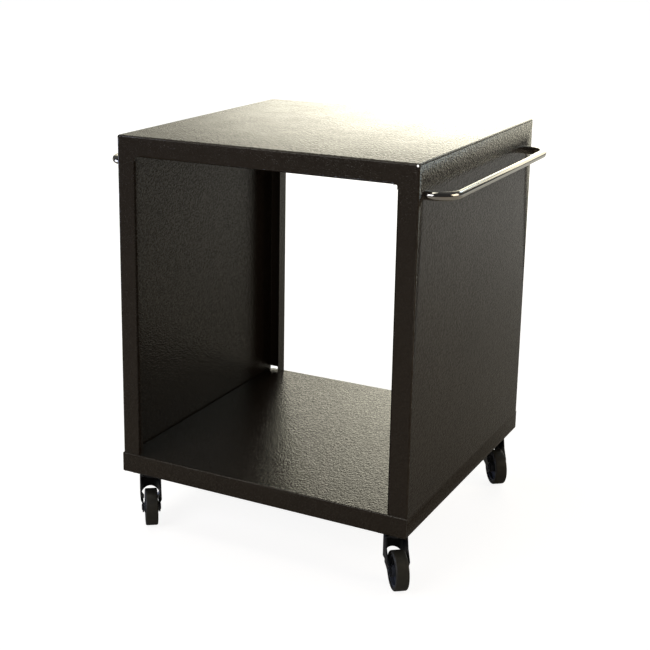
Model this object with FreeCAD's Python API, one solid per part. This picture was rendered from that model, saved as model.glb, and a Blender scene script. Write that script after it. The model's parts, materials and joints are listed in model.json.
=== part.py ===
import FreeCAD, Part
import math
import os

# Outdoor pizza oven table: an open folded steel cabinet on four swivel casters, with a bar on each side.
# Millimetres. The origin is on the floor under the middle of the body, +Z up, the front faces -Y.

# Overall size
body_width = 620.0
body_depth = 620.0
table_height = 800.0
caster_height = 110.0

# Folded sheet
sheet = 2.0
bend_radius = 4.0
frame_width = 40.0
front_lip = 12.0
rear_lip = 32.0
corner_radius = 2.5
lip_cutback = 8.0
relief_radius = 2.2
relief_depth = 3.0

# Base
floor_height = 35.5
tray_flange = 25.0
tray_notch = 7.0
rail_height = 41.0
rail_proud = 2.5
hem_gap = 1.0
hem_depth = 12.0
side_return = 20.0
channel_width = 70.0
fit_gap = 0.3

# Stiffener under the top
stiffener_width = 40.0
stiffener_depth = 20.0
stiffener_foot = 15.0
stiffener_end_gap = 4.0

# Side bars
tube_radius = 8.0
tube_wall = 1.5
bar_offset = 48.0
bar_bend_radius = 37.0
bar_drop = 58.6
post_inset = 40.25
right_bar_shift = -11.25
left_bar_shift = 0.0
plug_length = 10.0
plug_gap = 0.05

# M6 fasteners
screw_radius = 3.0
screw_gap = 0.25
thread_gap = 0.05
head_across_flats = 10.0
head_height = 4.0
nut_height = 5.0
handle_screw_reach = 9.0
plate_screw_end = 4.0
washer_radius = 9.0
washer_thickness = 1.6

# Casters
caster_inset = 38.0
plate_size = 60.0
plate_thickness = 2.5
plate_corner = 5.0
bolt_spacing = 43.0
dome_radius = 17.0
dome_slope = 4.0
dome_drop = 5.0
race_gap = 4.0
race_radius = 13.0
ball_radius = 2.5
ball_count = 10
groove_gap = 0.1
pin_radius = 5.0
pin_head_radius = 8.0
pin_head_height = 3.0
pin_foot_height = 2.5
running_fit = 0.08
lower_race_radius = 12.0
lower_race_thickness = 3.0
lower_race_gap = 0.3
fork_sheet = 2.5
fork_width = 43.0
fork_bend_radius = 4.0
fork_foot_width = 36.0
joggle_top = 53.0
joggle_bottom = 47.0
fork_top_reach = 13.0
fork_waist_reach = 19.0
fork_waist_height = 74.0
fork_front_edge = 8.5
fork_front_bottom = 40.0
fork_toe_hollow = 3.0
fork_end_radius = 11.0
arch_height = 62.0
arch_radius = 24.0
trail = 30.0
trail_angle = -52.0
front_left_trail_angle = -53.4

# Wheels
wheel_radius = 37.5
wheel_width = 25.0
tread_depth = 7.5
shoulder_radius = 3.0
rim_depth = 3.5
rim_width = 21.0
disc_thickness = 7.0
hub_radius = 11.0
hub_gap = 0.3
core_fillet = 1.5
sleeve_radius = 6.0
axle_radius = 4.0
axle_head_radius = 6.5
axle_head_height = 1.6
axle_head_edge = 0.6
axle_washer_radius = 8.5
axle_washer_thickness = 0.8

# Worked out from the sizes above
half_width = body_width / 2
half_depth = body_depth / 2
body_bottom = caster_height
inner_radius = bend_radius - sheet
opening_half = half_width - frame_width
opening_top = table_height - frame_width
rail_top = body_bottom + rail_height
floor_top = body_bottom + floor_height
floor_under = floor_top - sheet
rail_face = half_depth + rail_proud
hem_back = rail_face - 2 * sheet - hem_gap
inner_half = half_width - bend_radius
tray_half = half_width - sheet - fit_gap
carrier_half = tray_half - bend_radius - fit_gap
caster_x = half_width - caster_inset
caster_y = half_depth - caster_inset
bar_height = table_height - bar_drop
post_reach = half_depth - post_inset
post_places = {
    -1: (left_bar_shift - post_reach, left_bar_shift + post_reach),
    1: (right_bar_shift - post_reach, right_bar_shift + post_reach),
}

vec = FreeCAD.Vector
along_x = vec(1, 0, 0)
along_y = vec(0, 1, 0)
along_z = vec(0, 0, 1)
reach = 2 * (body_width + body_depth + table_height)


def box(low, high):
    """Box between two corners."""
    return Part.makeBox(high[0] - low[0], high[1] - low[1], high[2] - low[2], vec(*low))


def rod(radius, start, end, direction):
    """Cylinder along an axis direction, from start to end measured along it."""
    return Part.makeCylinder(radius, end - start, direction * start, direction)


def face_of(points):
    """Flat face. A point is (a, b), or a pair of points: the middle of an arc and its end."""
    edges = []
    here = vec(*points[0])
    for point in points[1:] + [points[0]]:
        if isinstance(point[0], tuple):
            end = vec(*point[1])
            edges.append(Part.Arc(here, vec(*point[0]), end).toShape())
        else:
            end = vec(*point)
            if here.distanceToPoint(end) > 0.001:
                edges.append(Part.LineSegment(here, end).toShape())
        here = end
    return Part.Face(Part.Wire(edges))


def fold(center, direction, start, end, quarter):
    """Quarter bend of the sheet about a line, from start to end along it. quarter is its two signs."""
    ring = rod(bend_radius, start, end, direction).cut(rod(inner_radius, start, end, direction))
    if direction == along_x:
        corner = vec(start, min(0, quarter[0]) * bend_radius, min(0, quarter[1]) * bend_radius)
        block = Part.makeBox(end - start, bend_radius, bend_radius, corner)
    elif direction == along_y:
        corner = vec(min(0, quarter[0]) * bend_radius, start, min(0, quarter[1]) * bend_radius)
        block = Part.makeBox(bend_radius, end - start, bend_radius, corner)
    else:
        corner = vec(min(0, quarter[0]) * bend_radius, min(0, quarter[1]) * bend_radius, start)
        block = Part.makeBox(bend_radius, bend_radius, end - start, corner)
    bend = ring.common(block)
    bend.translate(center)
    return bend


def join(shapes):
    """One clean solid from touching pieces."""
    whole = shapes[0].fuse(shapes[1:]).removeSplitter()
    return whole.Solids[0]


def mirrored(shape, normal):
    """Mirror image through the origin."""
    return shape.mirror(vec(0, 0, 0), normal)


def hexagon(across_flats, start, end, direction):
    """Hexagonal prism along an axis direction."""
    corner = across_flats / math.sqrt(3)
    points = []
    for index in range(6):
        angle = math.radians(60 * index)
        points.append(vec(corner * math.cos(angle), corner * math.sin(angle), 0))
    prism = Part.Face(Part.makePolygon(points + [points[0]])).extrude(vec(0, 0, end - start))
    prism.translate(vec(0, 0, start))
    prism.Placement = FreeCAD.Placement(vec(0, 0, 0), FreeCAD.Rotation(along_z, direction)) * prism.Placement
    return prism


def rounded_shell():
    """Top and walls of the body as one folded skin, open below, with every outer edge rounded."""
    skins = []
    for inset, radius in [(0, bend_radius), (sheet, inner_radius)]:
        low = (inset - half_width, inset - half_depth, 0)
        high = (half_width - inset, half_depth - inset, table_height - inset)
        block = box(low, high)
        edges = [edge for edge in block.Edges if edge.BoundBox.ZMax > 1]
        skins.append(block.makeFillet(radius, edges))
    return skins[0].cut(skins[1])


def opening_outline(depth_low, depth_high):
    """The opening's own shape, with rounded top corners."""
    block = box((-opening_half, depth_low, 0), (opening_half, depth_high, opening_top))
    corners = [edge for edge in block.Edges if edge.BoundBox.ZMin > 1 and edge.BoundBox.XLength < 1]
    return block.makeFillet(corner_radius, corners)


def frame_lips(lip, side):
    """Folded lips round the opening and the flat corners they are cut back from. side is -1 at the front."""
    bend_x = opening_half + bend_radius
    bend_z = opening_top + bend_radius
    bend_y = side * (half_depth - bend_radius)
    lip_end = side * (half_depth - lip)
    lip_top = opening_top - lip_cutback
    lip_foot = rail_top if side < 0 else floor_top
    near, far = sorted([bend_y, lip_end])
    pieces = []
    for hand in (-1, 1):
        center = vec(hand * bend_x, bend_y, 0)
        pieces.append(fold(center, along_z, lip_foot, lip_top, (-hand, side)))
        low, high = sorted([hand * opening_half, hand * (opening_half + sheet)])
        pieces.append(box((low, near, lip_foot), (high, far, lip_top)))
    across = opening_half - lip_cutback
    pieces.append(fold(vec(0, bend_y, bend_z), along_x, -across, across, (side, -1)))
    pieces.append(box((-across, near, opening_top), (across, far, opening_top + sheet)))
    near, far = sorted([side * half_depth, side * (half_depth - sheet)])
    hole = opening_outline(near - 1, far + 1)
    for hand in (-1, 1):
        low, high = sorted([hand * across, hand * bend_x])
        pieces.append(box((low, near, lip_top), (high, far, bend_z)).cut(hole))
    return pieces


def body_skin():
    """Walls and top with the frame's two openings and their lips."""
    skin = rounded_shell()
    bend_x = opening_half + bend_radius
    bend_z = opening_top + bend_radius
    skin = skin.cut(box((-bend_x, -half_depth - 1, 0), (bend_x, half_depth + 1, bend_z)))
    skin = skin.cut(box((-half_width - 1, -half_depth - 1, 0), (half_width + 1, half_depth + 1, rail_top)))
    skin = skin.fuse(frame_lips(front_lip, -1) + frame_lips(rear_lip, 1))
    for hand in (-1, 1):
        for side in (-1, 1):
            near, far = sorted([side * (half_depth - relief_depth), side * (half_depth + 1)])
            relief = rod(relief_radius, near, far, along_y)
            relief.translate(vec(hand * inner_half, 0, table_height - bend_radius))
            skin = skin.cut(relief)
    return skin


def top_region():
    """Everything above the mitres, which belongs to the top."""
    seam = table_height - bend_radius
    points = [
        (-opening_half, -reach, opening_top),
        (opening_half, -reach, opening_top),
        (inner_half, -reach, seam),
        (half_width + 1, -reach, seam),
        (half_width + 1, -reach, table_height + 1),
        (-half_width - 1, -reach, table_height + 1),
        (-half_width - 1, -reach, seam),
        (-inner_half, -reach, seam),
    ]
    return face_of(points).extrude(vec(0, 2 * reach, 0))


def side_base(hand):
    """Lower part of a side: the straight wall, its bottom bend and the return notched for the carriers."""
    low, high = sorted([hand * half_width, hand * (half_width - sheet)])
    bottom = body_bottom + bend_radius
    hem_bottom = rail_top - hem_depth
    front = rail_face - sheet
    wall = box((low, -hem_back, bottom), (high, half_depth, rail_top))
    tongue = box((low, -front, bottom), (high, -hem_back, hem_bottom))
    bend = fold(vec(hand * inner_half, 0, bottom), along_y, -front, half_depth, (hand, -1))
    low, high = sorted([hand * inner_half, hand * (half_width - side_return)])
    notch = rail_face - channel_width - rail_proud - fit_gap
    shelf = box((low, -notch, body_bottom), (high, notch, body_bottom + sheet))
    return [wall, tongue, bend, shelf]


def side_panel(hand, skin):
    """One side: wall, half of each frame, lips and bottom return, with the bar's screw holes."""
    low, high = sorted([0, hand * reach])
    half = skin.cut(top_region()).common(box((low, -reach, 0), (high, reach, reach)))
    panel = join([half] + side_base(hand))
    for place in post_places[hand]:
        near, far = sorted([hand * inner_half, hand * (half_width + sheet)])
        hole = rod(screw_radius + screw_gap, near, far, along_x)
        hole.translate(vec(0, place, bar_height))
        panel = panel.cut(hole)
    return panel


def top_panel(skin):
    """The table top with its frame flanges and lips, mitred to the sides."""
    return join([skin.common(top_region())])


def base_tray():
    """Floor with its edges turned down, notched at the corners."""
    front = -hem_back
    low_z = floor_top - tray_flange
    skins = []
    for inset, radius in [(0, bend_radius), (sheet, inner_radius)]:
        wide = tray_half - inset
        top = floor_top - inset
        block = box((-wide, front + inset, low_z), (wide, half_depth - inset, top))
        rim = [edge for edge in block.Edges if edge.BoundBox.ZMin > top - 1]
        skins.append(block.makeFillet(radius, rim))
    tray = skins[0].cut(skins[1])
    for hand in (-1, 1):
        for edge in (front, half_depth):
            notch = box((-tray_notch, -tray_notch, 0), (tray_notch, tray_notch, reach))
            notch.translate(vec(hand * tray_half, edge, 0))
            tray = tray.cut(notch)
    return tray.Solids[0]


def trough(front, back, front_top, half_length):
    """Channel along X: a front leg, a web and a back leg that reaches the floor's underside."""
    low = body_bottom + bend_radius
    inner_front = front + bend_radius
    inner_back = back - bend_radius
    pieces = [
        box((-half_length, front, low), (half_length, front + sheet, front_top)),
        fold(vec(0, inner_front, low), along_x, -half_length, half_length, (-1, -1)),
        box((-half_length, inner_front, body_bottom), (half_length, inner_back, body_bottom + sheet)),
        fold(vec(0, inner_back, low), along_x, -half_length, half_length, (1, -1)),
        box((-half_length, back - sheet, low), (half_length, back, floor_under)),
    ]
    return pieces


def screw_grid(center_x, center_y):
    """The four screw places of a caster plate."""
    step = bolt_spacing / 2
    return [(center_x + i * step, center_y + j * step) for i in (-1, 1) for j in (-1, 1)]


def screw_holes(carrier, center_y):
    """Holes for both casters of a carrier."""
    for hand in (-1, 1):
        for x, y in screw_grid(hand * caster_x, center_y):
            hole = rod(screw_radius + screw_gap, 0, floor_under - 1, along_z)
            hole.translate(vec(x, y, 0))
            carrier = carrier.cut(hole)
    return carrier


def front_base_rail():
    """Rail below the opening: hemmed top edge, face, bottom and a rear leg, all one folded sheet."""
    back = -(rail_face - channel_width - rail_proud)
    hem_center = rail_top - hem_gap / 2 - sheet
    pieces = trough(-rail_face, back, hem_center, half_width)
    hem_radius = sheet + hem_gap / 2
    roll = rod(hem_radius, -half_width, half_width, along_x)
    roll = roll.cut(rod(hem_gap / 2, -half_width, half_width, along_x))
    roll = roll.common(box((-reach, -reach, 0), (reach, reach, reach)))
    roll.translate(vec(0, -rail_face + hem_radius, hem_center))
    leaf_front = -hem_back - sheet
    inner_leaf = box((-half_width, leaf_front, rail_top - hem_depth), (half_width, -hem_back, hem_center))
    rail = join(pieces + [roll, inner_leaf])
    for hand in (-1, 1):
        low, high = sorted([hand * carrier_half, hand * reach])
        rail = rail.cut(box((low, sheet - rail_face, 0), (high, 0, rail_top - hem_depth)))
        rail = rail.cut(box((low, -hem_back, 0), (high, 0, rail_top)))
    return screw_holes(rail, -caster_y)


def rear_caster_channel():
    """Channel under the rear of the floor."""
    back = half_depth - bend_radius - fit_gap
    front = rail_face - channel_width - rail_proud
    channel = join(trough(front, back, floor_under, carrier_half))
    return screw_holes(channel, caster_y)


def top_stiffener():
    """Hat section welded under the top."""
    under = table_height - sheet
    bottom = under - stiffener_depth
    half_length = inner_half - stiffener_end_gap
    crown = stiffener_width / 2
    foot = crown + stiffener_foot
    outer = [
        (-half_length, -foot, under), (-half_length, -foot, under - sheet),
        (-half_length, -crown, under - sheet), (-half_length, -crown, bottom),
        (-half_length, crown, bottom), (-half_length, crown, under - sheet),
        (-half_length, foot, under - sheet), (-half_length, foot, under),
        (-half_length, crown - sheet, under), (-half_length, crown - sheet, bottom + sheet),
        (-half_length, sheet - crown, bottom + sheet), (-half_length, sheet - crown, under),
    ]
    return face_of(outer).extrude(vec(2 * half_length, 0, 0))


def bar_path(hand):
    """Centre line of a side bar: post, bend, bar, bend, post."""
    root = hand * half_width
    out = hand * (half_width + bar_offset)
    turn = hand * (half_width + bar_offset - bar_bend_radius)
    first, last = post_places[hand]
    drop = bar_bend_radius * (1 - math.cos(math.radians(45)))
    near = hand * (half_width + bar_offset) - hand * drop
    points = [
        vec(root, first, bar_height),
        vec(turn, first, bar_height),
        vec(near, first + drop, bar_height),
        vec(out, first + bar_bend_radius, bar_height),
        vec(out, last - bar_bend_radius, bar_height),
        vec(near, last - drop, bar_height),
        vec(turn, last, bar_height),
        vec(root, last, bar_height),
    ]
    edges = [
        Part.LineSegment(points[0], points[1]).toShape(),
        Part.Arc(points[1], points[2], points[3]).toShape(),
        Part.LineSegment(points[3], points[4]).toShape(),
        Part.Arc(points[4], points[5], points[6]).toShape(),
        Part.LineSegment(points[6], points[7]).toShape(),
    ]
    return Part.Wire(edges), points[0]


def side_bar(hand):
    """Bent tube."""
    path, start = bar_path(hand)
    tubes = []
    for radius in (tube_radius, tube_radius - tube_wall):
        ring = Part.Wire(Part.makeCircle(radius, start, along_x))
        tubes.append(path.makePipeShell([ring], True, False))
    return tubes[0].cut(tubes[1]).Solids[0]


def at_posts(make):
    """The same piece at all four posts."""
    copies = []
    for hand in (-1, 1):
        for place in post_places[hand]:
            piece = make()
            if hand < 0:
                piece = mirrored(piece, along_x)
            piece.translate(vec(0, place, bar_height))
            copies.append(piece)
    return Part.makeCompound(copies)


def end_plug():
    """Threaded plug in a tube end."""
    plug = rod(tube_radius - tube_wall - plug_gap, half_width, half_width + plug_length, along_x)
    return plug.cut(rod(screw_radius + thread_gap, half_width - 1, half_width + plug_length + 1, along_x))


def bar_washer():
    """Washer on the inside of the side."""
    face = half_width - sheet
    washer = rod(washer_radius, face - washer_thickness, face, along_x)
    return washer.cut(rod(screw_radius + screw_gap, face - washer_thickness - 1, face + 1, along_x))


def bar_bolt():
    """Hexagon screw through the side into the plug."""
    seat = half_width - sheet - washer_thickness
    head = hexagon(head_across_flats, seat - head_height, seat, along_x)
    return join([head, rod(screw_radius, seat, half_width + handle_screw_reach, along_x)])


def weld_nuts():
    """Nuts on the rail and the channel over every caster screw."""
    nuts = []
    bottom = body_bottom + sheet
    for center_y in (-caster_y, caster_y):
        for hand in (-1, 1):
            for x, y in screw_grid(hand * caster_x, center_y):
                nut = hexagon(head_across_flats, bottom, bottom + nut_height, along_z)
                nut = nut.cut(rod(screw_radius + thread_gap, bottom - 1, bottom + nut_height + 1, along_z))
                nut.translate(vec(x, y, 0))
                nuts.append(nut)
    return Part.makeCompound(nuts)


# Heights in a caster, from the plate down
plate_bottom = caster_height - plate_thickness
dome_bottom = plate_bottom - dome_drop
crown_top = dome_bottom - race_gap
crown_bottom = crown_top - fork_sheet
race_center = (dome_bottom + crown_top) / 2
lower_race_top = crown_bottom - lower_race_gap
lower_race_bottom = lower_race_top - lower_race_thickness


def ball_track(radius):
    """Ring-shaped groove for the balls."""
    return Part.makeTorus(race_radius, radius, vec(0, 0, race_center), along_z)


def caster_plate():
    """Square plate pressed down in the middle, with four holes and the upper ball track."""
    half = plate_size / 2
    plate = box((-half, -half, plate_bottom), (half, half, caster_height))
    upright = [edge for edge in plate.Edges if edge.BoundBox.ZLength > 1]
    plate = plate.makeFillet(plate_corner, upright)
    top = caster_height
    low = dome_bottom
    outer = dome_radius + dome_slope
    hollow = face_of([(0, 0, low + plate_thickness), (dome_radius, 0, low + plate_thickness),
                      (outer, 0, top), (outer, 0, top + 1), (0, 0, top + 1)])
    dome = face_of([(0, 0, low), (dome_radius, 0, low), (outer, 0, plate_bottom),
                    (outer, 0, top), (0, 0, top)])
    dome = dome.revolve(vec(0, 0, 0), along_z, 360)
    hollow = hollow.revolve(vec(0, 0, 0), along_z, 360)
    plate = join([plate, dome]).cut(hollow).cut(ball_track(ball_radius + groove_gap))
    plate = plate.cut(rod(pin_radius, 0, top + 1, along_z))
    for x, y in screw_grid(0, 0):
        hole = rod(screw_radius + screw_gap, 0, top + 1, along_z)
        hole.translate(vec(x, y, 0))
        plate = plate.cut(hole)
    return plate.Solids[0]


def caster_kingpin():
    """Riveted pin with a head in the plate's hollow and a foot under the lower race."""
    seat = dome_bottom + plate_thickness
    head = rod(pin_head_radius, seat, seat + pin_head_height, along_z)
    shank = rod(pin_radius, lower_race_bottom, seat, along_z)
    foot = rod(pin_head_radius, lower_race_bottom - pin_foot_height, lower_race_bottom, along_z)
    return join([head, shank, foot])


def caster_lower_race():
    """Ring that holds the fork up."""
    ring = rod(lower_race_radius, lower_race_bottom, lower_race_top, along_z)
    return ring.cut(rod(pin_radius, lower_race_bottom - 1, lower_race_top + 1, along_z))


def plate_bolts():
    """Four hexagon screws through the plate into the weld nuts."""
    bolts = []
    for x, y in screw_grid(0, 0):
        head = hexagon(head_across_flats, plate_bottom - head_height, plate_bottom, along_z)
        end = body_bottom + sheet + nut_height + plate_screw_end
        bolt = join([head, rod(screw_radius, plate_bottom, end, along_z)])
        bolt.translate(vec(x, y, 0))
        bolts.append(bolt)
    return Part.makeCompound(bolts)


def race_balls():
    """Ring of balls between plate and fork."""
    balls = []
    for index in range(ball_count):
        angle = 2 * math.pi * index / ball_count
        place = vec(race_radius * math.cos(angle), race_radius * math.sin(angle), race_center)
        balls.append(Part.makeSphere(ball_radius, place))
    return Part.makeCompound(balls)


def fork_half_section():
    """Half of the fork seen along its travel: crown, bend, leg and the step in to the axle."""
    wide = fork_width / 2
    foot = fork_foot_width / 2
    bottom = wheel_radius - fork_end_radius - 1
    bend = fork_bend_radius
    inner = bend - fork_sheet
    slant = math.sqrt(0.5)
    corner_y = wide - bend
    corner_z = crown_top - bend
    outer_mid = (0, corner_y + bend * slant, corner_z + bend * slant)
    inner_mid = (0, corner_y + inner * slant, corner_z + inner * slant)
    return face_of([
        (0, 0, crown_bottom),
        (0, corner_y, crown_bottom),
        (inner_mid, (0, wide - fork_sheet, corner_z)),
        (0, wide - fork_sheet, joggle_top),
        (0, foot - fork_sheet, joggle_bottom),
        (0, foot - fork_sheet, bottom),
        (0, foot, bottom),
        (0, foot, joggle_bottom),
        (0, wide, joggle_top),
        (0, wide, corner_z),
        (outer_mid, (0, corner_y, crown_top)),
        (0, 0, crown_top),
    ])


def fork_side_outline():
    """Outline of the fork seen from the side: upright front edge, hollow toe, round end, swept back edge."""
    axle = vec(trail, 0, wheel_radius)
    toe = vec(-fork_front_edge, 0, fork_front_bottom)
    waist = vec(fork_waist_reach, 0, fork_waist_height)
    ends = []
    for corner, turn in ((toe, 1), (waist, -1)):
        arm = axle - corner
        tilt = math.asin(fork_end_radius / arm.Length)
        heading = math.atan2(arm.z, arm.x) - turn * tilt
        run = arm.Length * math.cos(tilt)
        ends.append(corner + vec(math.cos(heading), 0, math.sin(heading)) * run)
    low_end, back_end = ends
    tip = axle + ((low_end + back_end) * 0.5 - axle).normalize() * fork_end_radius
    hollow = (toe + low_end) * 0.5 + vec(0, 0, fork_toe_hollow)
    front = -fork_width
    top = crown_top + 1
    profile = face_of([
        (front, 0, fork_front_bottom), tuple(toe), (tuple(hollow), tuple(low_end)),
        (tuple(tip), tuple(back_end)), tuple(waist), (fork_top_reach, 0, crown_bottom),
        (fork_top_reach, 0, top), (front, 0, top),
    ])
    profile.translate(vec(0, -fork_width, 0))
    return profile.extrude(vec(0, 2 * fork_width, 0))


def fork_arch():
    """Doorway cut in the closed front of the fork."""
    spring = arch_height - arch_radius
    front = -fork_width
    points = [
        (front, -arch_radius, 0),
        (front, -arch_radius, spring),
        ((front, 0, arch_height), (front, arch_radius, spring)),
        (front, arch_radius, 0),
    ]
    return face_of(points).extrude(vec(fork_width - fork_front_edge, 0, 0))


def caster_fork():
    """Pressed fork: half-round closed front, two legs that step in, ball track and pin hole."""
    section = fork_half_section()
    front = section.revolve(vec(0, 0, 0), along_z, 180)
    legs = section.extrude(vec(2 * trail, 0, 0))
    blank = join([front, legs, mirrored(legs, along_y)])
    fork = blank.common(fork_side_outline()).cut(fork_arch())
    fork = fork.cut(ball_track(ball_radius + groove_gap))
    fork = fork.cut(rod(pin_radius + running_fit, 0, reach, along_z))
    hole = rod(axle_radius + thread_gap, -reach, reach, along_y)
    hole.translate(vec(trail, 0, wheel_radius))
    return fork.cut(hole).Solids[0]


def at_axle(shape):
    """Moves a piece made round the Y axis to the axle."""
    shape.translate(vec(trail, 0, wheel_radius))
    return shape


def axle_rivet():
    """Rivet across the fork with a low head on each side."""
    foot = fork_foot_width / 2
    rivet = rod(axle_radius, -foot, foot, along_y)
    heads = []
    for hand in (-1, 1):
        face = hand * (foot + axle_head_height)
        low, high = sorted([hand * foot, face])
        head = rod(axle_head_radius, low, high, along_y)
        bounds = [(edge, edge.BoundBox) for edge in head.Edges]
        rim = [edge for edge, bound in bounds if abs(bound.YMin - face) + bound.YLength < 0.01]
        heads.append(head.makeChamfer(axle_head_edge, rim))
    return at_axle(join([rivet] + heads))


def axle_washers():
    """Thin washers against the inside of the fork's legs, beside the hub."""
    inside = fork_foot_width / 2 - fork_sheet
    washers = []
    for hand in (-1, 1):
        low, high = sorted([hand * (inside - axle_washer_thickness), hand * inside])
        washer = rod(axle_washer_radius, low, high, along_y)
        hole = rod(sleeve_radius + running_fit, low - 1, high + 1, along_y)
        washers.append(at_axle(washer.cut(hole)))
    return Part.makeCompound(washers)


def axle_sleeve():
    """Tube clamped between the fork's legs, on which the wheel turns."""
    inside = fork_foot_width / 2 - fork_sheet
    sleeve = rod(sleeve_radius, -inside, inside, along_y)
    return at_axle(sleeve.cut(rod(axle_radius + thread_gap, -inside - 1, inside + 1, along_y)))


def wheel_core():
    """Moulded core: hub, recessed disc and rim."""
    hub_half = fork_foot_width / 2 - fork_sheet - axle_washer_thickness - hub_gap
    bore = sleeve_radius + running_fit
    rim_outer = wheel_radius - tread_depth
    rim_inner = rim_outer - rim_depth
    disc = disc_thickness / 2
    rim = rim_width / 2
    profile = face_of([
        (bore, -hub_half, 0), (hub_radius, -hub_half, 0), (hub_radius + core_fillet, -disc, 0),
        (rim_inner - core_fillet, -disc, 0), (rim_inner, -rim, 0), (rim_outer, -rim, 0),
        (rim_outer, rim, 0), (rim_inner, rim, 0), (rim_inner - core_fillet, disc, 0),
        (hub_radius + core_fillet, disc, 0), (hub_radius, hub_half, 0), (bore, hub_half, 0),
    ])
    return at_axle(profile.revolve(vec(0, 0, 0), along_y, 360))


def tyre():
    """Rubber tread with rounded shoulders, moulded round the rim."""
    inner = wheel_radius - tread_depth
    half = wheel_width / 2
    slant = shoulder_radius * (1 - math.sqrt(0.5))
    edge = wheel_radius - shoulder_radius
    rim = rim_width / 2
    profile = face_of([
        (inner, -rim, 0), (inner, -half, 0), (edge, -half, 0),
        ((wheel_radius - slant, slant - half, 0), (wheel_radius, shoulder_radius - half, 0)),
        (wheel_radius, half - shoulder_radius, 0),
        ((wheel_radius - slant, half - slant, 0), (edge, half, 0)),
        (inner, half, 0), (inner, rim, 0),
    ])
    return at_axle(profile.revolve(vec(0, 0, 0), along_y, 360))


def place_caster(shape, x, y, turn, swivels):
    """Stands a caster piece under its corner of the body, turned with the fork if it swivels."""
    moved = shape.copy()
    if swivels:
        moved.rotate(vec(0, 0, 0), along_z, turn)
    moved.translate(vec(x, y, 0))
    return moved


skin = body_skin()
pieces = {
    "top_panel": top_panel(skin),
    "left_side_panel": side_panel(-1, skin),
    "right_side_panel": side_panel(1, skin),
    "base_tray": base_tray(),
    "front_base_rail": front_base_rail(),
    "rear_caster_channel": rear_caster_channel(),
    "top_stiffener": top_stiffener(),
    "left_handle": side_bar(-1),
    "right_handle": side_bar(1),
    "handle_end_plugs": at_posts(end_plug),
    "handle_bolts": at_posts(bar_bolt),
    "handle_washers": at_posts(bar_washer),
    "caster_weld_nuts": weld_nuts(),
}

caster_pieces = {
    "plate": (caster_plate(), False),
    "kingpin": (caster_kingpin(), False),
    "lower_race": (caster_lower_race(), False),
    "plate_bolts": (plate_bolts(), False),
    "race_balls": (race_balls(), True),
    "fork": (caster_fork(), True),
    "axle_rivet": (axle_rivet(), True),
    "axle_washers": (axle_washers(), True),
    "axle_sleeve": (axle_sleeve(), True),
    "wheel_core": (wheel_core(), True),
    "tyre": (tyre(), True),
}
corners = {
    "front_left": (-caster_x, -caster_y, front_left_trail_angle),
    "front_right": (caster_x, -caster_y, trail_angle),
    "rear_left": (-caster_x, caster_y, trail_angle),
    "rear_right": (caster_x, caster_y, trail_angle),
}
for corner, (x, y, turn) in corners.items():
    for name, (shape, swivels) in caster_pieces.items():
        pieces[corner + "_caster_" + name] = place_caster(shape, x, y, turn, swivels)

os.makedirs("parts", exist_ok=True)
for name, shape in pieces.items():
    shape.exportStep("parts/" + name + ".step")
    print(name, len(shape.Solids), round(shape.Volume), shape.isValid())
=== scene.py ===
import bpy
import bmesh
import json
import math
from mathutils import Matrix, Vector


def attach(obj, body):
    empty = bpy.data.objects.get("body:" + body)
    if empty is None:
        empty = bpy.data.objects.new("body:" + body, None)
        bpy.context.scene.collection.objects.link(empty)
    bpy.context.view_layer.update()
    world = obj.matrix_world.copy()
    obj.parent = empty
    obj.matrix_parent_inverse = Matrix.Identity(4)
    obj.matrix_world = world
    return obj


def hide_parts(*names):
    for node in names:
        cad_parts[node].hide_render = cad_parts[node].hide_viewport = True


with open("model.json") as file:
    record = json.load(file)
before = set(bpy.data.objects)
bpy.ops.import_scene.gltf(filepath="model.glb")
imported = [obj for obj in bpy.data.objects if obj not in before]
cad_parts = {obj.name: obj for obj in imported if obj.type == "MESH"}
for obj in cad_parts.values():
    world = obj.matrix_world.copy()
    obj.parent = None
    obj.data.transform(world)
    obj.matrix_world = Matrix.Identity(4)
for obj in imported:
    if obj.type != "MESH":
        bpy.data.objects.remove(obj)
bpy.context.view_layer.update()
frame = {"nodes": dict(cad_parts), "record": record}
mm = 0.001
noiseReach = (0.3, 0.7)   # most values of a noise texture lie between these


def linearColor(hexCode):
    values = []
    for place in (0, 2, 4):
        part = int(hexCode[place:place + 2], 16) / 255
        values.append(part / 12.92 if part <= 0.04045 else ((part + 0.055) / 1.055) ** 2.4)
    return (*values, 1.0)


def addNode(tree, kind, settings=None, links=None):
    # a setting is an input socket's value where the node has one of that name, else a property
    node = tree.nodes.new(kind)
    for name, value in (settings or {}).items():
        if isinstance(name, int) or name in node.inputs:
            node.inputs[name].default_value = value
        else:
            setattr(node, name, value)
    for name, source in (links or {}).items():
        tree.links.new(source, node.inputs[name])
    return node


def newMaterial(name):
    material = bpy.data.materials.new(name)
    material.use_nodes = True
    material.node_tree.nodes.clear()
    return material, material.node_tree


def closeMaterial(tree, shader):
    addNode(tree, "ShaderNodeOutputMaterial", links={"Surface": shader.outputs[0]})


def objectPlace(tree):
    return addNode(tree, "ShaderNodeTexCoord").outputs["Object"]


def noise(tree, sizeMm, detail, place, roughness=0.5):
    return addNode(tree, "ShaderNodeTexNoise",
                   {"Scale": 1 / (sizeMm * mm), "Detail": detail, "Roughness": roughness},
                   {"Vector": place}).outputs["Fac"]


def ranged(tree, value, given, wanted, soft=False):
    # carries a value over from the given range to the wanted one and holds it there
    return addNode(tree, "ShaderNodeMapRange",
                   {"interpolation_type": "SMOOTHSTEP" if soft else "LINEAR", "From Min": given[0],
                    "From Max": given[1], "To Min": wanted[0], "To Max": wanted[1]},
                   {"Value": value}).outputs["Result"]


def calculated(tree, operation, first, second):
    return addNode(tree, "ShaderNodeMath", {"operation": operation}, {0: first, 1: second}).outputs[0]


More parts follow.
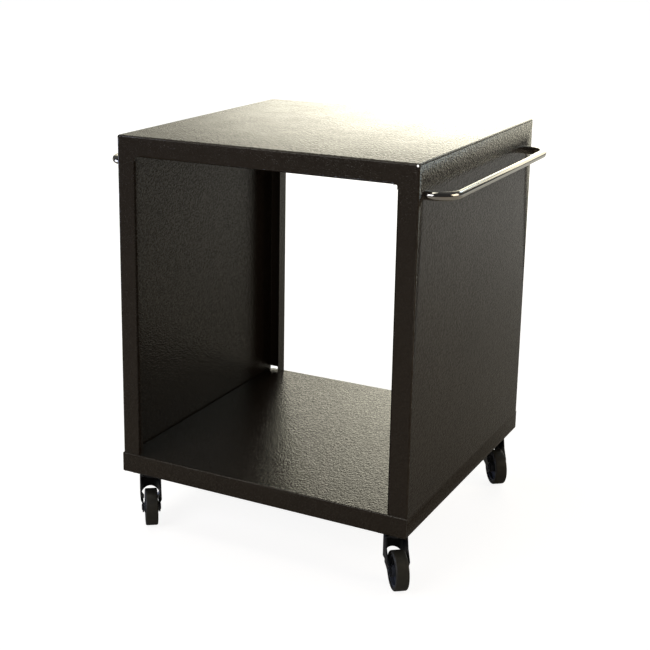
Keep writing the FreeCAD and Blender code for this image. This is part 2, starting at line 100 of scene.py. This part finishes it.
def tinted(tree, looks, share):
    return addNode(tree, "ShaderNodeMix",
                   {"data_type": "RGBA", 6: linearColor(looks["dark"]), 7: linearColor(looks["light"])},
                   {0: share}).outputs[2]


def bumped(tree, strength, heightMm, height):
    return addNode(tree, "ShaderNodeBump", {"Strength": strength, "Distance": heightMm * mm},
                   {"Height": height}).outputs["Normal"]


# Polyester powder coat with a leathery grain: near black brown, even in colour. The grain shows where light
# glances off and disappears where none does.
coatLooks = {
    "dark": "29231e",
    "light": "2f2822",
    "glance": "fffbe8",       # tint of what the film mirrors
    "roughness": 0.21,
    "roughnessSpread": 0.02,
    "glossLow": 0.28,         # specular level in the valleys of the grain
    "glossHigh": 0.68,        # and on its peaks
    "grainSpan": (0.35, 0.65),   # from the valleys to the peaks, in the noise that draws the grain
    "grainMm": 3.0,           # the real grain is about 1.5 mm, drawn coarser so that it shows
    "grainReach": 0.55,       # and longer along the depth of the cart, where it is seen at a glancing angle
    "grainHeightMm": 0.8,
    "waveMm": 90.0,           # slow unevenness of the sprayed film
    "bayShadeShare": 0.58,        # painted shade: share of the gloss left on the floor of the bay, its reflections dimmed to stand in for the shade under the top
}


def powderCoat(name, share):
    material, tree = newMaterial(name)
    place = objectPlace(tree)
    reach = addNode(tree, "ShaderNodeMapping", {"Scale": (1.0, coatLooks["grainReach"], 1.0)}, {"Vector": place})
    grain = noise(tree, coatLooks["grainMm"], 1.0, reach.outputs[0])
    wave = noise(tree, coatLooks["waveMm"], 2.0, place)
    middle, spread = coatLooks["roughness"], coatLooks["roughnessSpread"]
    gloss = (coatLooks["glossLow"] * share, coatLooks["glossHigh"] * share)
    shader = addNode(tree, "ShaderNodeBsdfPrincipled", {"Specular Tint": linearColor(coatLooks["glance"])},
                     {"Base Color": tinted(tree, coatLooks, wave),
                      "Roughness": ranged(tree, wave, noiseReach, (middle + spread, middle - spread)),
                      "Specular IOR Level": ranged(tree, grain, coatLooks["grainSpan"], gloss),
                      "Normal": bumped(tree, 1.0, coatLooks["grainHeightMm"], grain)})
    closeMaterial(tree, shader)
    return material


# Drawn stainless tube, mirror polished: sharp reflections, faint rings left by the polishing mops.
tubeLooks = {"color": "d9d5cc", "roughness": (0.04, 0.17), "ringMm": 1.2, "ringStretch": 0.05,
             "ringHeightMm": 0.1, "ringBump": 0.03}


def polishedStainless():
    material, tree = newMaterial("polishedStainless")
    across = tubeLooks["ringStretch"]
    stretch = addNode(tree, "ShaderNodeMapping", {"Scale": (across, 1.0, across)}, {"Vector": objectPlace(tree)})
    rings = noise(tree, tubeLooks["ringMm"], 3.0, stretch.outputs[0])
    shader = addNode(tree, "ShaderNodeBsdfPrincipled",
                     {"Base Color": linearColor(tubeLooks["color"]), "Metallic": 1.0},
                     {"Roughness": ranged(tree, rings, noiseReach, tubeLooks["roughness"]),
                      "Normal": bumped(tree, tubeLooks["ringBump"], tubeLooks["ringHeightMm"], rings)})
    closeMaterial(tree, shader)
    return material


# Small steel parts: plated, slightly clouded by handling.
platedLooks = {
    "brightZinc": {"dark": "8f9296", "light": "b9bcc0", "metallic": 1.0, "roughness": (0.26, 0.40), "cloudMm": 4.0},
    "blackZinc": {"dark": "18191c", "light": "34373d", "metallic": 0.2, "roughness": (0.26, 0.40), "cloudMm": 6.0},
    "bearingSteel": {"dark": "c2c4c8", "light": "d0d2d6", "metallic": 1.0, "roughness": (0.04, 0.18),
                     "cloudMm": 8.0},
}


def platedSteel(name):
    looks = platedLooks[name]
    material, tree = newMaterial(name)
    cloud = noise(tree, looks["cloudMm"], 4.0, objectPlace(tree), 0.6)
    shader = addNode(tree, "ShaderNodeBsdfPrincipled", {"Metallic": looks["metallic"]},
                     {"Base Color": tinted(tree, looks, cloud),
                      "Roughness": ranged(tree, cloud, noiseReach, looks["roughness"])})
    closeMaterial(tree, shader)
    return material


# Wheel: injection moulded nylon core and a vulcanised rubber tread, both matt, the tread a little dusty. The core's
# grey is its own, its bluish cast is painted cool light from the left.
wheelLooks = {
    # the core's bluish cast is painted light: cool light from the left put into its colour
    "nylonCore": {"dark": "33373f", "light": "50555f", "roughness": 0.42, "cloudMm": 12.0, "grainMm": 0.8,
                  "grainHeightMm": 0.1, "bump": 0.15},
    "rubberTread": {"dark": "22211d", "light": "3e3d36", "roughness": 0.46, "cloudMm": 12.0, "grainMm": 0.6,
                    "grainHeightMm": 0.1, "bump": 0.3},
}


def moulded(name):
    looks = wheelLooks[name]
    material, tree = newMaterial(name)
    place = objectPlace(tree)
    grain = noise(tree, looks["grainMm"], 3.0, place)
    cloud = noise(tree, looks["cloudMm"], 3.0, place)
    shader = addNode(tree, "ShaderNodeBsdfPrincipled", {"Roughness": looks["roughness"]},
                     {"Base Color": tinted(tree, looks, cloud),
                      "Normal": bumped(tree, looks["bump"], looks["grainHeightMm"], grain)})
    closeMaterial(tree, shader)
    return material


finishes = {
    "powderCoat": powderCoat("wrinkledPowderCoat", 1.0),
    # a copy of the coat with dimmed reflections for the floor of the bay, a painted shade
    "bayShadedCoat": powderCoat("bayShadedPowderCoat", coatLooks["bayShadeShare"]),
    "brightZinc": platedSteel("brightZinc"),
    "blackZinc": platedSteel("blackZinc"),
    "bearingSteel": platedSteel("bearingSteel"),
    "polishedStainless": polishedStainless(),
    "nylonCore": moulded("nylonCore"),
    "rubberTread": moulded("rubberTread"),
}
print("materials made:", len(finishes))


def bodyOf(node):
    for body, members in frame["record"]["behaviour"]["bodies"].items():
        if node in members:
            return body


def slotOf(node):
    for entry in frame["record"]["subparts"]:
        if entry["node"] == node:
            return entry["material_slot"]


def jointOf(child):
    for joint in frame["record"]["behaviour"]["joints"]:
        if joint["child"] == child:
            return joint


def placed(name, data):
    shown = bpy.data.objects.new(name, data)
    bpy.context.scene.collection.objects.link(shown)
    return shown


def addPiece(name, mesh, finish, node):
    # a finished piece rides with the node that it stands for
    piece = placed(name, mesh)
    mesh.materials.clear()
    mesh.materials.append(finishes[finish])
    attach(piece, bodyOf(node))
    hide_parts(node)


def bareMesh(name, points, faces, edges=()):
    mesh = bpy.data.meshes.new(name)
    mesh.from_pydata(points, edges, faces)
    return mesh


def shaded(mesh, sharpDegrees):
    # round stretches smooth, edges sharper than the angle crisp
    mesh.shade_smooth()
    mesh.set_sharp_from_angle(angle=math.radians(sharpDegrees))
    return mesh


def facesOut(mesh):
    # turns the faces of a closed shape outwards
    shape = bmesh.new()
    shape.from_mesh(mesh)
    bmesh.ops.recalc_face_normals(shape, faces=shape.faces)
    shape.to_mesh(mesh)
    shape.free()
    return mesh


# Sheet and pressed parts keep the shape of their node: its triangles are merged, bends shade as round folds.
sheetLooks = {"mergeMm": 0.002, "flatDegrees": 0.05, "panelSharpDegrees": 32.0, "plateSharpDegrees": 30.0}


def smoothCopy(node, sharpDegrees):
    mesh = frame["nodes"][node].data.copy()
    shape = bmesh.new()
    shape.from_mesh(mesh)
    bmesh.ops.remove_doubles(shape, verts=shape.verts, dist=sheetLooks["mergeMm"] * mm)
    bmesh.ops.dissolve_limit(shape, angle_limit=math.radians(sheetLooks["flatDegrees"]), verts=shape.verts,
                             edges=shape.edges)
    bmesh.ops.triangulate(shape, faces=shape.faces)
    shape.to_mesh(mesh)
    shape.free()
    return shaded(mesh, sharpDegrees)


def addPlate(node, finish):
    addPiece("finished_" + node, smoothCopy(node, sheetLooks["plateSharpDegrees"]), finish, node)


# base_tray takes the coat whose dimmed gloss paints the shade inside the bay
panelFinishes = {"top_panel": "powderCoat", "left_side_panel": "powderCoat", "right_side_panel": "powderCoat",
                 "base_tray": "bayShadedCoat", "front_base_rail": "powderCoat", "rear_caster_channel": "powderCoat",
                 "top_stiffener": "powderCoat"}
for node, finish in panelFinishes.items():
    addPiece("coated_" + node, smoothCopy(node, sheetLooks["panelSharpDegrees"]), finish, node)
print("coated panels:", len(panelFinishes))


def newTree(name, sockets):
    # an empty Geometry Nodes tree with the named inputs
    tree = bpy.data.node_groups.new(name, "GeometryNodeTree")
    tree.interface.new_socket("Geometry", in_out="INPUT", socket_type="NodeSocketGeometry")
    keys = {}
    for label, kind in sockets.items():
        keys[label] = tree.interface.new_socket(label, in_out="INPUT", socket_type=kind).identifier
    tree.interface.new_socket("Geometry", in_out="OUTPUT", socket_type="NodeSocketGeometry")
    return tree, keys, addNode(tree, "NodeGroupInput")


def closeTree(tree, shape, given):
    coated = addNode(tree, "GeometryNodeSetMaterial", {}, {"Geometry": shape, "Material": given.outputs["Material"]})
    addNode(tree, "NodeGroupOutput", {}, {"Geometry": coated.outputs[0]})


def grown(mesh, made, values, wall=0.0):
    # the plain mesh that a tree makes from a starting mesh, hollowed to a wall thickness if one is given
    tree, keys = made
    maker = placed("maker", mesh)
    modifier = maker.modifiers.new("tree", "NODES")
    modifier.node_group = tree
    for label, value in values.items():
        modifier[keys[label]] = value
    if wall:
        solid = maker.modifiers.new("wall", "SOLIDIFY")
        solid.thickness, solid.offset, solid.use_even_offset = wall, -1.0, True
    seen = maker.evaluated_get(bpy.context.evaluated_depsgraph_get())
    result = bpy.data.meshes.new_from_object(seen)
    bpy.data.objects.remove(maker)
    return result


def bentTubeTree():
    # tube along a path whose corners are rounded off
    tree, keys, given = newTree("bentTube", {"Tube Radius": "NodeSocketFloat", "Bend Radius": "NodeSocketFloat",
                                             "Bend Cuts": "NodeSocketInt", "Sides": "NodeSocketInt",
                                             "Material": "NodeSocketMaterial"})
    line = addNode(tree, "GeometryNodeMeshToCurve", {}, {"Mesh": given.outputs["Geometry"]})
    bend = addNode(tree, "GeometryNodeFilletCurve", {"mode": "POLY"},
                   {"Curve": line.outputs[0], "Radius": given.outputs["Bend Radius"],
                    "Count": given.outputs["Bend Cuts"]})
    ring = addNode(tree, "GeometryNodeCurvePrimitiveCircle", {},
                   {"Resolution": given.outputs["Sides"], "Radius": given.outputs["Tube Radius"]})
    tube = addNode(tree, "GeometryNodeCurveToMesh", {}, {"Curve": bend.outputs[0], "Profile Curve": ring.outputs[0]})
    closeTree(tree, tube.outputs[0], given)
    return tree, keys


def setOnPointsTree():
    # copies of one piece on the points of another object, each tipped about Y by the point's own turn
    tree, keys, given = newTree("setOnPoints", {"Places": "NodeSocketObject", "Material": "NodeSocketMaterial"})
    places = addNode(tree, "GeometryNodeObjectInfo", {}, {"Object": given.outputs["Places"]})
    turn = addNode(tree, "GeometryNodeInputNamedAttribute", {"data_type": "FLOAT", "Name": "turn"})
    tip = addNode(tree, "ShaderNodeCombineXYZ", {}, {"Y": turn.outputs["Attribute"]})
    copies = addNode(tree, "GeometryNodeInstanceOnPoints", {},
                     {"Points": places.outputs["Geometry"], "Instance": given.outputs["Geometry"],
                      "Rotation": tip.outputs[0]})
    real = addNode(tree, "GeometryNodeRealizeInstances", {}, {"Geometry": copies.outputs[0]})
    closeTree(tree, real.outputs[0], given)
    return tree, keys


bentTube = bentTubeTree()
setOnPoints = setOnPointsTree()


def setOf(mesh, places, finish, sharpDegrees):
    # one mesh of all the copies; places are (x, y, z, turn in degrees) in millimetres
    spots = bareMesh("places", [Vector(place[:3]) * mm for place in places], [])
    turns = spots.attributes.new("turn", "FLOAT", "POINT")
    turns.data.foreach_set("value", [math.radians(place[3]) for place in places])
    holder = placed("places", spots)
    result = grown(mesh, setOnPoints, {"Places": holder, "Material": finishes[finish]})
    bpy.data.objects.remove(holder)
    return shaded(result, sharpDegrees)


# Side bars: one bent tube each, from post to post.
barLooks = {
    "tubeRadiusMm": 8.0,
    "wallMm": 1.5,
    "bendRadiusMm": 37.0,
    "bendCuts": 20,
    "sides": 56,
    "rootMm": 310.0,      # face of the side that the posts stand on
    "outMm": 358.0,       # centre line of the bar
    "heightMm": 741.4,
    "postsMm": {"left_handle": (-269.75, 269.75), "right_handle": (-281.0, 258.5)},
    "sharpDegrees": 40.0,
}
barHands = {"left_handle": -1, "right_handle": 1}


def addBar(node, hand):
    first, last = barLooks["postsMm"][node]
    root, out, height = hand * barLooks["rootMm"], hand * barLooks["outMm"], barLooks["heightMm"]
    corners = [(root, first, height), (out, first, height), (out, last, height), (root, last, height)]
    path = bareMesh(node + "_path", [Vector(corner) * mm for corner in corners], [], [(0, 1), (1, 2), (2, 3)])
    values = {"Tube Radius": barLooks["tubeRadiusMm"] * mm, "Bend Radius": barLooks["bendRadiusMm"] * mm,
              "Bend Cuts": barLooks["bendCuts"], "Sides": barLooks["sides"],
              "Material": finishes["polishedStainless"]}
    mesh = grown(path, bentTube, values, barLooks["wallMm"] * mm)
    addPiece("polished_" + node, shaded(facesOut(mesh), barLooks["sharpDegrees"]), "polishedStainless", node)


for node, hand in barHands.items():
    addBar(node, hand)
print("bars done")

# M6 hexagon screws: forged head with its corners turned off, rolled shank with a pointed end.
screwLooks = {"acrossFlatsMm": 10.0, "headMm": 4.0, "flankDropMm": 0.15, "cornerDropMm": 0.75, "faceRadiusMm": 4.6,
              "shankRadiusMm": 3.0, "pointMm": 0.8, "sharpDegrees": 25.0}


def hexScrew(shankMm):
    # head below the seat at z = 0, shank up to shankMm; a ring has the hexagon's corners and its flats' middles
    flat = screwLooks["acrossFlatsMm"] / 2
    corner = flat / math.cos(math.radians(30))
    head, shank = -screwLooks["headMm"], screwLooks["shankRadiusMm"]
    face, point = screwLooks["faceRadiusMm"], screwLooks["pointMm"]
    count = 12
    rings = [
        [(face, head)] * count,
        [(corner, head + screwLooks["cornerDropMm"]), (flat, head + screwLooks["flankDropMm"])] * 6,
        [(corner, 0), (flat, 0)] * 6,
        [(shank, 0)] * count,
        [(shank, shankMm - point)] * count,
        [(shank - point, shankMm)] * count,
    ]
    points = []
    for ring in rings:
        for index, (radius, height) in enumerate(ring):
            angle = math.radians(360 / count * index)
            points.append(Vector((radius * math.cos(angle), radius * math.sin(angle), height)) * mm)
    faces = [tuple(reversed(range(count))), tuple(range(len(points) - count, len(points)))]
    for start in range(0, len(points) - count, count):
        for index in range(count):
            here, after = start + index, start + (index + 1) % count
            faces.append((here, after, after + count, here + count))
    return facesOut(bareMesh("hexScrew", points, faces))


# Where the bar screws stand: seat on the washer inside the side, turned to point outwards.
barScrews = {"seatMm": 306.4, "shankMm": 12.6}
places = []
for node, hand in barHands.items():
    for post in barLooks["postsMm"][node]:
        places.append((hand * barScrews["seatMm"], post, barLooks["heightMm"], hand * 90.0))
screws = setOf(hexScrew(barScrews["shankMm"]), places, "brightZinc", screwLooks["sharpDegrees"])
addPiece("forged_handle_bolts", screws, "brightZinc", "handle_bolts")
for node in ("handle_washers", "handle_end_plugs", "caster_weld_nuts"):
    addPlate(node, "brightZinc")
print("bar screws done")

# Casters: pressed and plated steel, a ring of balls, a nylon wheel with a rubber tread.
casterLooks = {
    "screwSpacingMm": 43.0,
    "screwSeatMm": 107.5,
    "screwShankMm": 13.5,
    "ballRingMm": 13.0,
    "ballRadiusMm": 2.5,
    "ballHeightMm": 100.5,
    "balls": 10,
    "ballSides": (12, 8),  # round a ball, and from pole to pole
    "ballSharpDegrees": 60.0,
    "turnSteps": 96,       # round the wheel
    "treadRadiusMm": 37.5,
    "treadInnerMm": 30.0,
    "treadHalfMm": 12.5,
    "shoulderMm": 3.0,
    "shoulderCuts": 8,
    "mouldLineMm": 0.15,   # height of the parting line round the tread
    "mouldFootMm": 0.5,    # half width of the line at its foot
    "mouldCrestMm": 0.2,   # and at its crest
    "mouldSideMm": 0.9,    # end of the flat strip beside it
    "rimGrooveMm": 0.5,    # groove where the rubber meets the rim
    "rimInnerMm": 26.5,
    "rimHalfMm": 10.5,
    "discHalfMm": 3.5,
    "hubRadiusMm": 11.0,
    "hubHalfMm": 14.4,
    "boreMm": 6.08,
    "edgeMm": 0.5,         # broken edges of the hub and the rim
    "filletMm": 1.5,
    "filletCuts": 5,
    "wheelSharpDegrees": 40.0,
    "pressedParts": {"plate": "blackZinc", "kingpin": "blackZinc", "lower_race": "blackZinc", "fork": "blackZinc",
                     "axle_rivet": "blackZinc", "axle_washers": "brightZinc", "axle_sleeve": "brightZinc"},
}


def ball():
    # bearing ball, a few dozen faces
    around, along = casterLooks["ballSides"]
    shape = bmesh.new()
    bmesh.ops.create_uvsphere(shape, u_segments=around, v_segments=along, radius=casterLooks["ballRadiusMm"] * mm)
    mesh = bpy.data.meshes.new("ball")
    shape.to_mesh(mesh)
    shape.free()
    return mesh


def arcPoints(center, radius, startDegrees, endDegrees, cuts):
    points = []
    for cut in range(cuts + 1):
        angle = math.radians(startDegrees + (endDegrees - startDegrees) * cut / cuts)
        points.append((center[0] + radius * math.cos(angle), center[1] + radius * math.sin(angle)))
    return points


def lathed(name, side, axle):
    # one side's outline of (radius, along) in millimetres and its mirror image, turned round the Y axis
    outline = side + [(radius, -along) for radius, along in reversed(side)]
    steps, count = casterLooks["turnSteps"], len(outline)
    points = []
    for step in range(steps):
        angle = 2 * math.pi * step / steps
        for radius, along in outline:
            points.append((radius * math.cos(angle) * mm, along * mm, radius * math.sin(angle) * mm))
    faces = []
    for step in range(steps):
        here, there = step * count, (step + 1) % steps * count
        for index in range(count):
            after = (index + 1) % count
            faces.append((here + index, here + after, there + after, there + index))
    mesh = bareMesh(name, points, faces)
    mesh.transform(axle)
    return shaded(facesOut(mesh), casterLooks["wheelSharpDegrees"])


def tyreSide():
    outer, inner = casterLooks["treadRadiusMm"], casterLooks["treadInnerMm"]
    half, shoulder = casterLooks["treadHalfMm"], casterLooks["shoulderMm"]
    groove, line = casterLooks["rimGrooveMm"], casterLooks["mouldLineMm"]
    side = [(inner, casterLooks["rimHalfMm"]), (inner, half - groove), (inner + groove, half)]
    side += arcPoints((outer - line - shoulder, half - shoulder), shoulder, 90, 0, casterLooks["shoulderCuts"])
    side += [(outer - line, casterLooks["mouldSideMm"]), (outer - line, casterLooks["mouldFootMm"]),
             (outer, casterLooks["mouldCrestMm"])]
    return side


def coreSide():
    hub, fillet, disc = casterLooks["hubRadiusMm"], casterLooks["filletMm"], casterLooks["discHalfMm"]
    rim, inner, edge = casterLooks["rimHalfMm"], casterLooks["rimInnerMm"], casterLooks["edgeMm"]
    end, cuts = casterLooks["hubHalfMm"], casterLooks["filletCuts"]
    side = [(casterLooks["boreMm"], end), (hub - edge, end), (hub, end - edge)]
    side += arcPoints((hub + fillet, disc + fillet), fillet, 180, 270, cuts)
    side += arcPoints((inner - fillet, disc + fillet), fillet, 270, 360, cuts)
    side += [(inner, rim - edge), (inner + edge, rim), (casterLooks["treadInnerMm"], rim)]
    return side


def axleOf(corner):
    # where the wheel's axle is, and its turn about Z, from the part's own joint
    joint = jointOf(corner + "_wheel")
    turn = math.atan2(-joint["axis"][0], joint["axis"][1])
    return Matrix.Translation(joint["pos_m"]) @ Matrix.Rotation(turn, 4, "Z")


for corner in ("front_left", "front_right", "rear_left", "rear_right"):
    prefix = corner + "_caster_"
    axle = axleOf(corner)
    swivel = Vector(jointOf(corner + "_swivel")["pos_m"]) / mm
    addPiece("moulded_" + prefix + "tyre", lathed("tread", tyreSide(), axle), "rubberTread", prefix + "tyre")
    addPiece("moulded_" + prefix + "wheel_core", lathed("core", coreSide(), axle), "nylonCore",
             prefix + "wheel_core")
    half = casterLooks["screwSpacingMm"] / 2
    places = [(swivel.x + x, swivel.y + y, casterLooks["screwSeatMm"], 0.0)
              for x in (-half, half) for y in (-half, half)]
    screws = setOf(hexScrew(casterLooks["screwShankMm"]), places, "blackZinc", screwLooks["sharpDegrees"])
    addPiece("forged_" + prefix + "plate_bolts", screws, "blackZinc", prefix + "plate_bolts")
    places = []
    for index in range(casterLooks["balls"]):
        angle = 2 * math.pi * index / casterLooks["balls"]
        places.append((swivel.x + casterLooks["ballRingMm"] * math.cos(angle),
                       swivel.y + casterLooks["ballRingMm"] * math.sin(angle), casterLooks["ballHeightMm"], 0.0))
    balls = setOf(ball(), places, "bearingSteel", casterLooks["ballSharpDegrees"])
    addPiece("ground_" + prefix + "race_balls", balls, "bearingSteel", prefix + "race_balls")
    for part, finish in casterLooks["pressedParts"].items():
        addPlate(prefix + part, finish)
    print(corner, "caster done")

# The CAD nodes, all replaced by now, get the finishes of their slots.
finishOfSlot = {"powder_coat": "powderCoat", "polished_steel": "polishedStainless", "zinc_steel": "brightZinc",
                "black_zinc": "blackZinc", "bearing_steel": "bearingSteel", "wheel_plastic": "nylonCore",
                "tread_rubber": "rubberTread"}
for node, shown in frame["nodes"].items():
    shown.data.materials.clear()
    shown.data.materials.append(finishes[finishOfSlot[slotOf(node)]])
print("nodes finished:", len(frame["nodes"]))

# Studio: pale floor and surroundings, brighter behind than in front, and soft lamps. Distances in metres.
studio = {
    "floorSize": 40.0,
    "floorColor": "b2b0ac",
    "floorRoughness": 0.9,
    "floorSeen": 0.88,          # added where the camera looks, so that the floor reads white
    "floorFar": 1.0,            # the same, away from the object
    "floorWhitens": (0.8, 3.0),   # how far out it goes from one to the other
    "floorMirrored": 0.47,      # far floor as glossy surfaces see it, where it sweeps up into the backdrop
    "sweepBehind": (0.3, 5.2),  # how far behind the object that begins and is full
    "fadeBehind": (4.8, 6.2),   # and where it goes down again, behind the screen
    "fadeLeft": 0.1,
    "roomLight": 0.35,          # share of the surroundings that lights the object diffusely
    "roomFront": 0.03,
    "roomBack": 0.08,
    "roomTowards": (-0.25, 0.95, 0.15),   # brightest direction of the surroundings
    "roomTurn": (-0.25, 0.65),  # how far towards it they go from front to back
    "lamps": {
        "rearKey": {"place": (1.45, 3.8, 2.95), "aim": (0, 0, 0.6), "size": (1.6, 1.0), "watts": 12,
                    "color": "dff4ff"},
        "rightFill": {"place": (3.4, 0.4, 2.0), "aim": (0.3, 0, 0.5), "size": (2.0, 2.0), "watts": 25,
                      "color": "fff0da"},
        "frontRight": {"place": (2.6, -3.4, 1.1), "aim": (0, 0, 0.5), "size": (3.2, 2.0), "watts": 27,
                       "color": "ffe8d0", "mirrored": False},
        "frontHigh": {"place": (-1.2, -3.6, 2.2), "aim": (0, 0, 0.5), "size": (2.4, 2.0), "watts": 43,
                      "color": "f6f6ff"},
        "leftKick": {"place": (-3.0, -0.8, 0.3), "aim": (0, -0.27, 0.05), "size": (0.9, 0.5), "watts": 20,
                     "color": "d2dcff"},
        "ceiling": {"place": (-1.05, -0.2, 3.4), "aim": (-1.05, -0.19, 0), "size": (1.9, 1.9), "watts": 22,
                    "color": "fffdf2"},
    },
}


def seenDirectly(tree, others=()):
    # 1 for the camera's rays, and for the named kinds of ray
    rays = addNode(tree, "ShaderNodeLightPath")
    share = rays.outputs["Is Camera Ray"]
    for kind in others:
        share = calculated(tree, "MAXIMUM", share, rays.outputs[kind])
    return share


def addFloor():
    half = studio["floorSize"] / 2
    mesh = bareMesh("studioFloor", [(-half, -half, 0), (half, -half, 0), (half, half, 0), (-half, half, 0)],
                    [(0, 1, 2, 3)])
    floor = placed("studioFloor", mesh)
    material, tree = newMaterial("studioFloor")
    place = objectPlace(tree)
    away = addNode(tree, "ShaderNodeVectorMath", {"operation": "LENGTH"}, {0: place}).outputs["Value"]
    white = ranged(tree, away, studio["floorWhitens"], (studio["floorSeen"], studio["floorFar"]), True)
    seen = calculated(tree, "MULTIPLY", seenDirectly(tree), white)
    behind = addNode(tree, "ShaderNodeSeparateXYZ", {}, {"Vector": place}).outputs["Y"]
    sweep = ranged(tree, behind, studio["sweepBehind"], (0.0, studio["floorMirrored"]), True)
    fade = ranged(tree, behind, studio["fadeBehind"], (1.0, studio["fadeLeft"]))
    glossy = addNode(tree, "ShaderNodeLightPath").outputs["Is Glossy Ray"]
    mirrored = calculated(tree, "MULTIPLY", glossy, calculated(tree, "MULTIPLY", fade, sweep))
    paint = addNode(tree, "ShaderNodeBsdfPrincipled",
                    {"Base Color": linearColor(studio["floorColor"]), "Roughness": studio["floorRoughness"],
                     "Specular IOR Level": 0.0, "Emission Color": (1, 1, 1, 1)},
                    {"Emission Strength": calculated(tree, "MAXIMUM", seen, mirrored)})
    closeMaterial(tree, paint)
    mesh.materials.append(material)


# Lit screen behind the object, for the reflections in the coat and the bars: dim at the far left, full in the
# middle, weaker at the right and near the top.
screenLooks = {
    "left": -5.4, "right": 2.0, "low": 0.75, "top": 3.8, "behind": 4.6, "color": "fffae6",
    "dimAt": -3.8, "fullAt": -1.2, "dim": 0.78, "full": 4.5,
    "sideFrom": 0.0, "sideTo": 1.2, "side": 0.32,
    "softFrom": 2.15, "softTo": 2.55, "high": 0.22,
}


def addScreen():
    looks = screenLooks
    corners = [(looks[side], looks["behind"], looks[edge])
               for side, edge in (("left", "low"), ("right", "low"), ("right", "top"), ("left", "top"))]
    mesh = bareMesh("studioScreen", corners, [(0, 1, 2, 3)])
    screen = placed("studioScreen", mesh)
    screen.visible_camera = False
    material, tree = newMaterial("studioScreen")
    place = addNode(tree, "ShaderNodeSeparateXYZ", {}, {"Vector": objectPlace(tree)}).outputs
    light = ranged(tree, place["X"], (looks["dimAt"], looks["fullAt"]), (looks["dim"], looks["full"]), True)
    upper = ranged(tree, place["Z"], (looks["softFrom"], looks["softTo"]), (1.0, looks["high"]), True)
    side = ranged(tree, place["X"], (looks["sideFrom"], looks["sideTo"]), (1.0, looks["side"]), True)
    strength = calculated(tree, "MULTIPLY", calculated(tree, "MULTIPLY", light, upper), side)
    closeMaterial(tree, addNode(tree, "ShaderNodeEmission", {"Color": linearColor(looks["color"])},
                                {"Strength": strength}))
    mesh.materials.append(material)


def addWorld():
    world = bpy.data.worlds.new("studioWorld")
    bpy.context.scene.world = world
    world.use_nodes = True
    tree = world.node_tree
    tree.nodes.clear()
    direction = addNode(tree, "ShaderNodeTexCoord").outputs["Generated"]
    facing = addNode(tree, "ShaderNodeVectorMath", {"operation": "DOT_PRODUCT", 1: studio["roomTowards"]},
                     {0: direction}).outputs["Value"]
    room = ranged(tree, facing, studio["roomTurn"], (studio["roomFront"], studio["roomBack"]), True)
    mirrored = seenDirectly(tree, ("Is Glossy Ray", "Is Transmission Ray"))
    share = ranged(tree, mirrored, (0.0, 1.0), (studio["roomLight"], 1.0))
    strength = calculated(tree, "MAXIMUM", calculated(tree, "MULTIPLY", room, share), seenDirectly(tree))
    background = addNode(tree, "ShaderNodeBackground", {"Color": (1, 1, 1, 1)}, {"Strength": strength})
    addNode(tree, "ShaderNodeOutputWorld", links={"Surface": background.outputs[0]})


def addLamp(name, looks):
    light = bpy.data.lights.new(name, "AREA")
    light.shape = "RECTANGLE"
    light.size, light.size_y = looks["size"]
    light.energy = looks["watts"]
    light.color = linearColor(looks["color"])[:3]
    lamp = placed(name, light)
    lamp.location = looks["place"]
    aim = Vector(looks["aim"]) - Vector(looks["place"])
    lamp.rotation_euler = aim.to_track_quat("-Z", "Y").to_euler()
    lamp.visible_camera = False
    lamp.visible_glossy = looks.get("mirrored", True)


# Camera placed where the photograph was taken from.
cameraLooks = {"place": (1.111, -2.307, 1.183), "azimuth": 29.30, "elevation": 14.40, "roll": 0.23,
               "lensMm": 71.35, "sensorMm": 36.0, "shift": (0.110, -0.1025)}


def addCamera():
    camera = bpy.data.cameras.new("photoCamera")
    camera.lens = cameraLooks["lensMm"]
    camera.sensor_width = cameraLooks["sensorMm"]
    camera.shift_x, camera.shift_y = cameraLooks["shift"]
    shown = placed("photoCamera", camera)
    turn = Matrix.Rotation(math.radians(cameraLooks["azimuth"]), 4, "Z")
    tilt = Matrix.Rotation(math.radians(90 - cameraLooks["elevation"]), 4, "X")
    roll = Matrix.Rotation(math.radians(cameraLooks["roll"]), 4, "Z")
    shown.matrix_world = Matrix.Translation(cameraLooks["place"]) @ turn @ tilt @ roll
    bpy.context.scene.camera = shown


addFloor()
addScreen()
addWorld()
for lampName, lampLooks in studio["lamps"].items():
    addLamp(lampName, lampLooks)
addCamera()
bpy.context.scene.view_settings.view_transform = "Standard"
print("studio ready")
